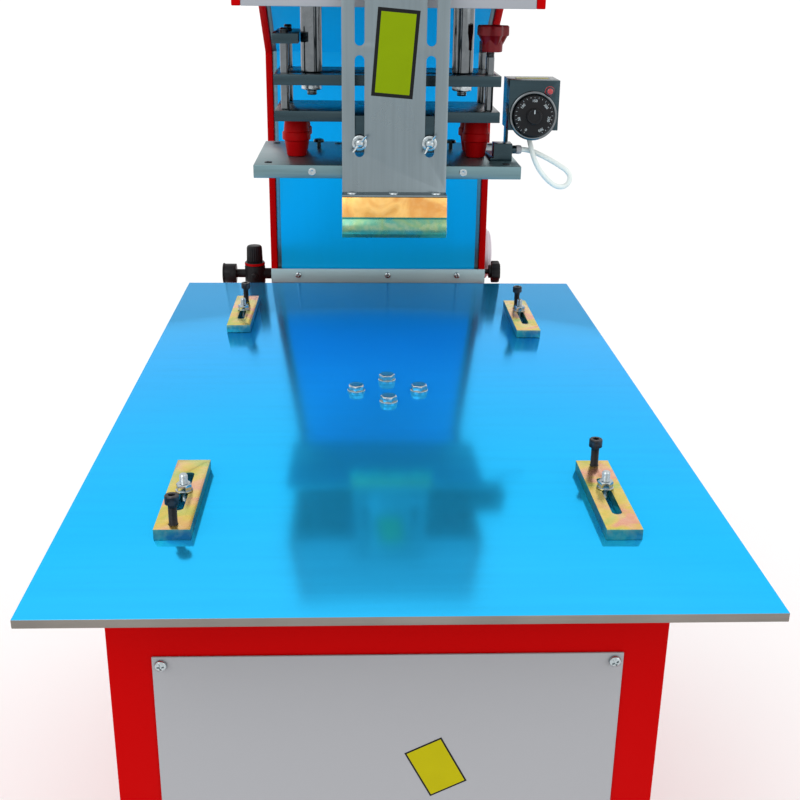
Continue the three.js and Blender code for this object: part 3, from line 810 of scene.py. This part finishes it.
def buildClamps():
    look = {"edge": 0.8, "studRadius": 4, "nutAcross": 13}
    for corner in ("front_left", "front_right", "back_left", "back_right"):
        body = f"clamp_{corner}"
        bar = refined(f"clamp_bar_{corner}", f"clamp_strap_{corner}", look["edge"])
        unmarked(bar)
        # the side faces, the slot's inner walls among them, take the darker teal zinc: its own colour on the outer
        # sides, painted shade inside the slot
        mark(bar, lambda centre, normal: abs(normal.z) < 0.75)
        dress(bar, [barZinc, sideZincSlotShade], body, "zinc", f"clamp_bar_{corner}")
        x, y, base, tall = standing(f"clamp_jack_screw_{corner}")
        screw = socketScrew(f"jack_screw_{corner}", 3.95, 6.5, tall - 8, tall, 0)
        knurl(screw, tall - 8.2, tall - 0.6, 6.5, 16, 0.35)
        put(screw, (x, y, base))
        dress(unmarked(screw), blackOxide, body, "black_oxide", f"clamp_jack_screw_{corner}")
        x, y, base, tall = standing(f"clamp_stud_{corner}")
        steps = [(3.3, 0)] + threadSteps(look["studRadius"], 0.5, tall - 0.8, 1.25, 0.5) + [(3.0, tall)]
        stud = turned(f"clamp_bolt_{corner}", steps, 24)
        smoothed(stud, 30)
        nut = put(hexHead("nut", look["nutAcross"], 6.3, 8, 1.2), (0, 0, 10.4), "+Z", 20)
        both = joined(f"clamp_bolt_{corner}", [stud, nut])
        put(both, (x, y, base))
        dress(unmarked(both), brightZinc, "machine", "steel", f"clamp_stud_{corner}")


buildTable()
buildClamps()
print("table built")


# stamping head
def buildHeadPlates():
    look = {"edge": 0.8, "setScrewZ": 1044.5, "thumbY": 100}
    for node, name, coat, slotName in (
        ("upper_plate", "upper_tie_plate", groundSteel, "steel"),
        ("lower_plate", "lower_tie_plate", groundSteel, "steel"),
        ("heater_plate", "heating_plate", bareAluminium, "aluminium"),
        ("tie_plate", "side_tie_plate", groundSteel, "steel"),
    ):
        dress(unmarked(refined(node, name, look["edge"])), coat, "stamping_head", slotName, node)
    low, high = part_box("heater_plate")
    front, top = low.y * 1000, high.z * 1000
    setScrew = turned("set_screw", [(4.6, 0), (4.6, 0.5), (3.9, 1.0), (2.4, 1.0)], 32)
    carve(setScrew, turned("socket", [(2.1, 0.3), (2.1, 3)], 6))
    crisp(setScrew, 0.1 * mm)
    places = [(x, front, look["setScrewZ"]) for x in (-88, 88)]
    scatter(setScrew, "heater_set_screw", places, "-Y", (0, 15), brightZinc, "stamping_head", "steel")
    places = [(x, y, top) for x, y in [(-140, -20), (140, -24), (-140, 140), (140, 140), (-60, 140), (60, 140)]]
    scatter(setScrew, "heater_top_screw", places, "+Z", (0, 25), blackOxide, "stamping_head", "black_oxide")
    discard(setScrew)
    thumb = turned("thumb_screw", [(2.5, 0), (2.5, 7), (6.5, 7.5), (6.8, 9), (6.2, 11), (3, 12)], 28)
    smoothed(thumb)
    places = [(x, look["thumbY"], top) for x in (-84, 84)]
    scatter(thumb, "thumb_screw", places, "+Z", (0, 0), groundSteel, "stamping_head", "steel")
    discard(thumb)


def buildGuides():
    for node in ("guide_pillar_left", "guide_pillar_right"):
        x, y, base, tall = standing(node)
        pillar = turned(node.replace("guide_pillar", "guide_rod"),
                        [(11, 0), (12.5, 1.5), (12.5, tall - 1.5), (11, tall)], 64)
        smoothed(pillar)
        put(pillar, (x, y, base))
        dress(unmarked(pillar), polishedSteel, "stamping_head", "chrome", node)
        bolt = hexHead("pillar_bolt", 22, 7.5, 0, 0)
        stub = turned("stub", threadSteps(6, 7.4, 13, 1.5, 0.6) + [(5, 13.4)], 28)
        both = joined(node.replace("guide_pillar", "pillar_bolt"), [bolt, stub])
        put(both, (x, y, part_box("upper_plate")[0].z * 1000), "-Z", 12)
        dress(unmarked(both), brightZinc, "stamping_head", "steel")
    x, y, base, tall = standing("piston_rod")
    rod = turned("ram_rod", [(8.5, 0), (10, 1.5), (10, tall - 1.5), (8.5, tall)], 48)
    smoothed(rod)
    put(rod, (x, y, base))
    dress(unmarked(rod), polishedSteel, "stamping_head", "chrome", "piston_rod")
    for side in ("left", "right"):
        for end in ("front", "back"):
            node = f"tie_rod_{side}_{end}"
            x, y, base, tall = standing(node)
            steps = [(4.4, 0), (5, 0.7), (5, tall - 14)] + threadSteps(5, tall - 13.6, tall - 1, 1.5, 0.6)
            rod = turned(node.replace("tie_rod", "spacer_rod"), steps + [(4, tall)], 28)
            smoothed(rod, 32)
            put(rod, (x, y, base))
            dress(unmarked(rod), polishedSteel, "stamping_head", "steel", node)


def buildInsulators():
    tall = standing("insulator_left_front")[3]
    steps = [(10.6, 0), (11.6, 0.8), (14.4, tall * 0.4), (14.8, tall * 0.41), (16.8, tall * 0.43), (17, tall * 0.46),
             (17, tall * 0.6), (16.6, tall * 0.63), (15.2, tall * 0.65), (13.9, tall - 1), (13.2, tall)]
    stack = turned("insulator", steps, 48)
    # shallow flats round the collar, as on a moulded standoff
    for vertex in stack.data.vertices:
        if tall * 0.42 * mm < vertex.co.z < tall * 0.64 * mm:
            flat = 1 - 0.028 * abs(sin(4 * angleOf(vertex)))
            vertex.co.x *= flat
            vertex.co.y *= flat
    smoothed(stack, 30)
    for node in ("insulator_left_front", "insulator_left_back", "insulator_right_front", "insulator_right_back"):
        one = put(copyOf(stack, node.replace("insulator", "heat_standoff")), standing(node)[:3])
        dress(unmarked(one), redPlastic, "stamping_head", "red_plastic", node)
    discard(stack)


# a grip with rounded lobes, along Z
def lobedGrip(name, radius, swell, lobes, steps, sides=100):
    grip = turned(name, steps, sides)
    for vertex in grip.data.vertices:
        reach = (vertex.co.x ** 2 + vertex.co.y ** 2) ** 0.5
        if reach > radius * 0.6 * mm:
            ripple = 1 + swell / radius * cos(lobes * angleOf(vertex))
            vertex.co.x *= ripple
            vertex.co.y *= ripple
    smoothed(grip, 40)
    return grip


def buildStarKnob():
    x, y, base, tall = standing("star_knob")
    grip = lobedGrip("star_grip", 17, 2.4, 5,
                     [(11, 8.2), (15.4, 17.6), (17, 18.6), (17.2, 22), (17, tall - 1.6), (15.6, tall - 0.3),
                      (9, tall), (8.2, tall - 1.2), (3, tall - 1.2)])
    hub = turned("hub", [(7.0, 0.2), (11.4, 0.2), (12.2, 1), (12.4, 10), (11, 17.5), (8, 17.7)], 40)
    bore = turned("bore", [(5.4, -1), (5.4, 8.3)], 32)
    carve(hub, bore)
    smoothed(hub)
    knob = joined("star_grip", [grip, hub])
    put(knob, (x, y, base))
    dress(unmarked(knob), darkRedPlastic, "star", "red_plastic", "star_knob")


buildHeadPlates()
buildGuides()
buildInsulators()
buildStarKnob()
print("stamping head built")


def raisedText(words, size, thick):
    clearSelection()
    bpy.ops.object.text_add()
    letters = bpy.context.object
    letters.data.body = words
    letters.data.size = size * mm
    letters.data.extrude = thick * mm
    letters.data.align_x = "CENTER"
    letters.data.align_y = "CENTER"
    bpy.ops.object.convert(target="MESH")
    return bpy.context.object


def buildThermostat():
    look = {"dialX": 171, "dialZ": 1107, "ringRadius": 17.6, "numbers": 7, "sweep": 300}
    case = refined("thermostat_box", "thermostat_case", 0.7)
    dress(unmarked(case), groundSteel, "stamping_head", "steel", "thermostat_box")
    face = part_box("thermostat_box")[0].y * 1000 + 5
    ring = turned("ring", [(28.4, 0), (28.6, 1.4), (27.6, 3.3), (26, 3.8), (24.9, 3.2), (24.9, 0.6)], 72)
    smoothed(ring, 50)
    put(ring, (look["dialX"], face, look["dialZ"]), "-Y")
    named(ring, "thermostat_bezel")
    carve(ring, put(turned("hole", [(24.6, -1), (24.6, 8)], 72), (look["dialX"], face, look["dialZ"]), "-Y"))
    smoothed(ring, 50)
    dress(unmarked(ring), polishedSteel, "stamping_head", "steel")
    lens = turned("lamp_lens", [(5.6, 0), (5.6, 1.6), (5, 1.9), (4.9, 3.4), (4, 4.7), (2.4, 5.5), (0.8, 5.7)], 32)
    smoothed(lens, 60)
    put(lens, (189, face, 1135), "-Y")
    dress(unmarked(lens), lampLens, "stamping_head", "steel")
    # the dial: a dished disc with a raised boss, numbers and ticks round the rim
    disc = turned("dial", [(22.4, 0.3), (23.4, 1.2), (23.4, 7.4), (22.6, 8.4), (21.6, 8.6), (11.2, 8.1), (9.4, 8.4),
                           (8.8, 12.6), (8, 13.4), (6.6, 13.4), (6, 12.8), (2, 12.8)], 96)
    smoothed(disc, 30)
    parts = [unmarked(disc)]
    for number in range(look["numbers"]):
        angle = radians(90 + look["sweep"] / 2 - number * look["sweep"] / (look["numbers"] - 1))
        word = raisedText(str(number * 50), 4.2, 0.12)
        spot = (look["ringRadius"] * cos(angle) * mm, look["ringRadius"] * sin(angle) * mm, 8.55 * mm)
        word.matrix_world = Matrix.Translation(spot) @ Matrix.Rotation(angle - pi / 2, 4, "Z")
        settle(word)
        parts.append(word)
    for tick in range(25):
        angle = radians(90 + look["sweep"] / 2 - tick * look["sweep"] / 24)
        bar = blockOf("tick", (20.6, -0.16, 8.2), (22.2 if tick % 4 else 21.8, 0.16, 8.72))
        bar.matrix_world = Matrix.Rotation(angle, 4, "Z")
        settle(bar)
        parts.append(bar)
    parts.append(blockOf("pointer", (-0.5, 3.2, 13), (0.5, 7.6, 13.55)))
    for piece in parts:
        piece.data.materials.clear()
        piece.data.materials.append(blackPlastic)
        piece.data.materials.append(dialWhite)
    for piece in parts[1:]:
        mark(piece, lambda centre, normal: True)
    dial = joined("temperature_dial", parts)
    put(dial, (look["dialX"], -10, look["dialZ"]), "-Y")
    dress(dial, [blackPlastic, dialWhite], "dial", "black_plastic", "thermostat_dial")
    clip = refined("heater_terminal", "terminal_block", 0.5)
    dress(unmarked(clip), groundSteel, "stamping_head", "steel", "heater_terminal")
    bushing = turned("lead_bushing", [(3.4, 0), (5.2, 0), (5.4, 3), (4.6, 6), (3.4, 6)], 28)
    carve(bushing, turned("hole", [(3.1, -1), (3.1, 8)], 28))
    smoothed(bushing)
    put(bushing, (156.2, 13, 1064.3), "+X")
    dress(unmarked(bushing), whitePaint, "stamping_head", "steel")


buildThermostat()
print("thermostat built")


# foil guide sheet
def buildGuideSheet():
    look = {"footThick": 2, "rivetX": (-49, -1, 48), "rivetIn": 9.5, "creaseZ": 0.9985}
    sheet = refined("foil_guide_sheet", "foil_sheet", 0.35)
    dress(unmarked(sheet), sheetAluminium, "guide_sheet", "aluminium", "foil_guide_sheet")
    lip = refined("foil_guide_lip", "foil_lip", 0.3)
    unmarked(lip)
    mark(lip, lambda centre, normal: centre.z < look["creaseZ"])
    dress(lip, [lipGold, lipGreen], "guide_sheet", "zinc", "foil_guide_lip")
    low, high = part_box("foil_guide_sheet")
    rivet = turned("rivet", [(5.4, 0), (5.2, 1.0), (4.2, 1.9), (2.4, 2.5), (0.8, 2.7)], 32)
    smoothed(rivet, 60)
    places = [((low.x + high.x) * 500 + x, low.y * 1000 + look["rivetIn"], low.z * 1000 + look["footThick"])
              for x in look["rivetX"]]
    scatter(rivet, "lip_rivet", places, "+Z", (0, 0), brightZinc, "guide_sheet", "steel")
    discard(rivet)


# a wing screw: a cupped washer, a domed boss and two rounded wings, along Z
def buildWingScrews():
    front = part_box("foil_guide_sheet")[1].y * 1000 - 2
    for side, body, spin in (("left", "wing_left", 50), ("right", "wing_right", 60)):
        node = f"wing_screw_{side}"
        low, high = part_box(node)
        shank = turned("shank", [(2.4, -8)] + threadSteps(2.9, -7.6, 0.4, 1, 0.4) + [(3, 0.6)], 20)
        washer = turned("washer", [(8.5, 0.3), (8.5, 1.1), (8, 1.5), (5, 1.5)], 40)
        boss = turned("boss", [(5.6, 1.4), (6, 2.2), (5.2, 6.4), (4, 8.6), (2, 9.6)], 32)
        pieces = [shank, washer, boss]
        for sign in (-1, 1):
            wing = blockOf("wing", (3, -1.3, 4), (7, 1.3, 10))
            editFaces(wing, lambda centre, normal: normal.x > 0.9)
            bpy.ops.mesh.extrude_region_move(TRANSFORM_OT_translate={"value": (0.005, 0, 0.0028)})
            bpy.ops.transform.resize(value=(1, 0.72, 1.1), center_override=(0.012, 0, 0.0098))
            bpy.ops.object.mode_set(mode="OBJECT")
            finishWith(wing, "BEVEL", width=0.9 * mm, segments=3, limit_method="ANGLE", angle_limit=radians(30))
            wing.matrix_world = Matrix.Rotation(0 if sign > 0 else pi, 4, "Z")
            settle(wing)
            pieces.append(wing)
        for piece in pieces:
            smoothed(piece, 40)
        whole = joined(f"wing_nut_{side}", pieces)
        x = (low.x + high.x) * 500
        put(whole, (x, front, 1080), "-Y", spin)
        dress(unmarked(whole), brightZinc, body, "chrome", node)


buildGuideSheet()
buildWingScrews()
print("guide sheet built")


# fittings on the column
def buildRegulator():
    look = {"x": -206, "y": 500, "ringZ": 801, "portZ": 786, "gaugeX": -256, "radius": 17}
    body = refined("air_regulator", "regulator_body", 0.6)
    dress(unmarked(body), blackPlastic, "machine", "black_plastic", "air_regulator")
    ring = turned("lock_ring", [(16.4, 0), (16.8, 0.6), (16.8, 3.4), (16.2, 4)], 48)
    smoothed(ring)
    put(ring, (look["x"], look["y"], look["ringZ"]))
    dress(unmarked(ring), redPlastic, "machine", "black_plastic")
    base, tall = standing("regulator_knob")[2:]
    cap = lobedGrip("regulator_cap", 13, 0.35, 24,
                    [(12.6, 0), (13.1, 0.8), (12.4, tall - 5), (12.1, tall - 3), (10.6, tall - 0.8), (8, tall - 0.1),
                     (4, tall - 0.1)], 120)
    put(cap, (look["x"], look["y"], base))
    dress(unmarked(cap), blackPlastic, "regulator_cap", "black_plastic", "regulator_knob")
    gauge = turned("gauge_rim", [(16.6, 0), (17, 0.6), (17, 2.6), (16, 3.2), (14.8, 3), (14.4, 1.8), (4, 1.8)], 56)
    smoothed(gauge)
    unmarked(gauge)
    mark(gauge, lambda centre, normal: normal.z > 0.9 and (centre.x ** 2 + centre.y ** 2) ** 0.5 < 12 * mm)
    put(gauge, (look["gaugeX"], look["y"], look["portZ"]), "-X")
    dress(gauge, [blackPlastic, dialWhite], "machine", "black_plastic")
    hose = turned("hose_stub", [(4, 0), (5, 1), (5, 6), (3.2, 7)], 28)
    put(hose, (look["x"], look["y"] - look["radius"], look["portZ"]), "-Y")
    dress(unmarked(hose), blackPlastic, "machine", "black_plastic")


def buildSideFittings():
    look = {"coverY": 520, "coverZ": 817, "knobY": 458, "knobZ": 801, "domeHeight": 15.9}
    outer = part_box("frame_plate_right")[1].x * 1000
    dome = turned("side_dome", [(41.4, 0.3), (42, 1), (42, 7.6), (41, 9.4), (38.4, 10.4), (37.8, 12.8), (33, 15),
                                (20, 15.9), (8, 16.2), (2, 16.2)], 72)
    smoothed(dome, 30)
    put(dome, (outer, look["coverY"], look["coverZ"]), "+X")
    dress(unmarked(dome), paleGrey, "machine", "pale_grey", "side_cover")
    screw = panScrew("dome_screw", 4.2)
    put(screw, (outer + look["domeHeight"], look["coverY"], look["coverZ"]), "+X", 40)
    dress(unmarked(screw), brightZinc, "machine", "steel")
    stem = turned("stem", [(4, 0.3), (4, 7), (10.4, 7.3), (11, 8), (10.6, 11.4)], 36)
    smoothed(stem)
    grip = lobedGrip("side_grip", 16, 2.2, 5,
                     [(12, 11.3), (15.6, 11.8), (16.4, 13.2), (16.4, 22.8), (15, 25), (9, 26), (3, 26)])
    knob = joined("side_grip", [grip, stem])
    put(knob, (outer, look["knobY"], look["knobZ"]), "+X")
    dress(unmarked(knob), blackPlastic, "side_turn", "black_plastic", "side_knob")


buildRegulator()
buildSideFittings()
print("fittings built")


# floor and light
def addStage():
    clearSelection()
    bpy.ops.mesh.primitive_plane_add(size=60)
    floor = named(bpy.context.object, "floor")
    look = {"color": (0.94, 0.94, 0.94), "roughness": 0.75, "spread": 0.05, "blotch": 0.01, "bump": 0.0}
    floor.data.materials.append(newCoat("paleFloor", look)[0])
    world = bpy.data.worlds.new("studio")
    world.use_nodes = True
    world.node_tree.nodes["Background"].inputs["Color"].default_value = (1, 1, 1, 1)
    world.node_tree.nodes["Background"].inputs["Strength"].default_value = 1.08
    scene.world = world
    lamps = [
        {"name": "keyLight", "at": (-2.2, -2.6, 3.4), "size": 2.6, "power": 40},
        {"name": "fillLight", "at": (2.6, -2.2, 2.2), "size": 2.4, "power": 16},
    ]
    for lamp in lamps:
        data = bpy.data.lights.new(lamp["name"], "AREA")
        data.size = lamp["size"]
        data.energy = lamp["power"]
        light = bpy.data.objects.new(lamp["name"], data)
        light.location = lamp["at"]
        light.rotation_euler = (Vector((0, 0, 0.95)) - Vector(lamp["at"])).to_track_quat("-Z", "Y").to_euler()
        scene.collection.objects.link(light)


addStage()
print("stage lit")
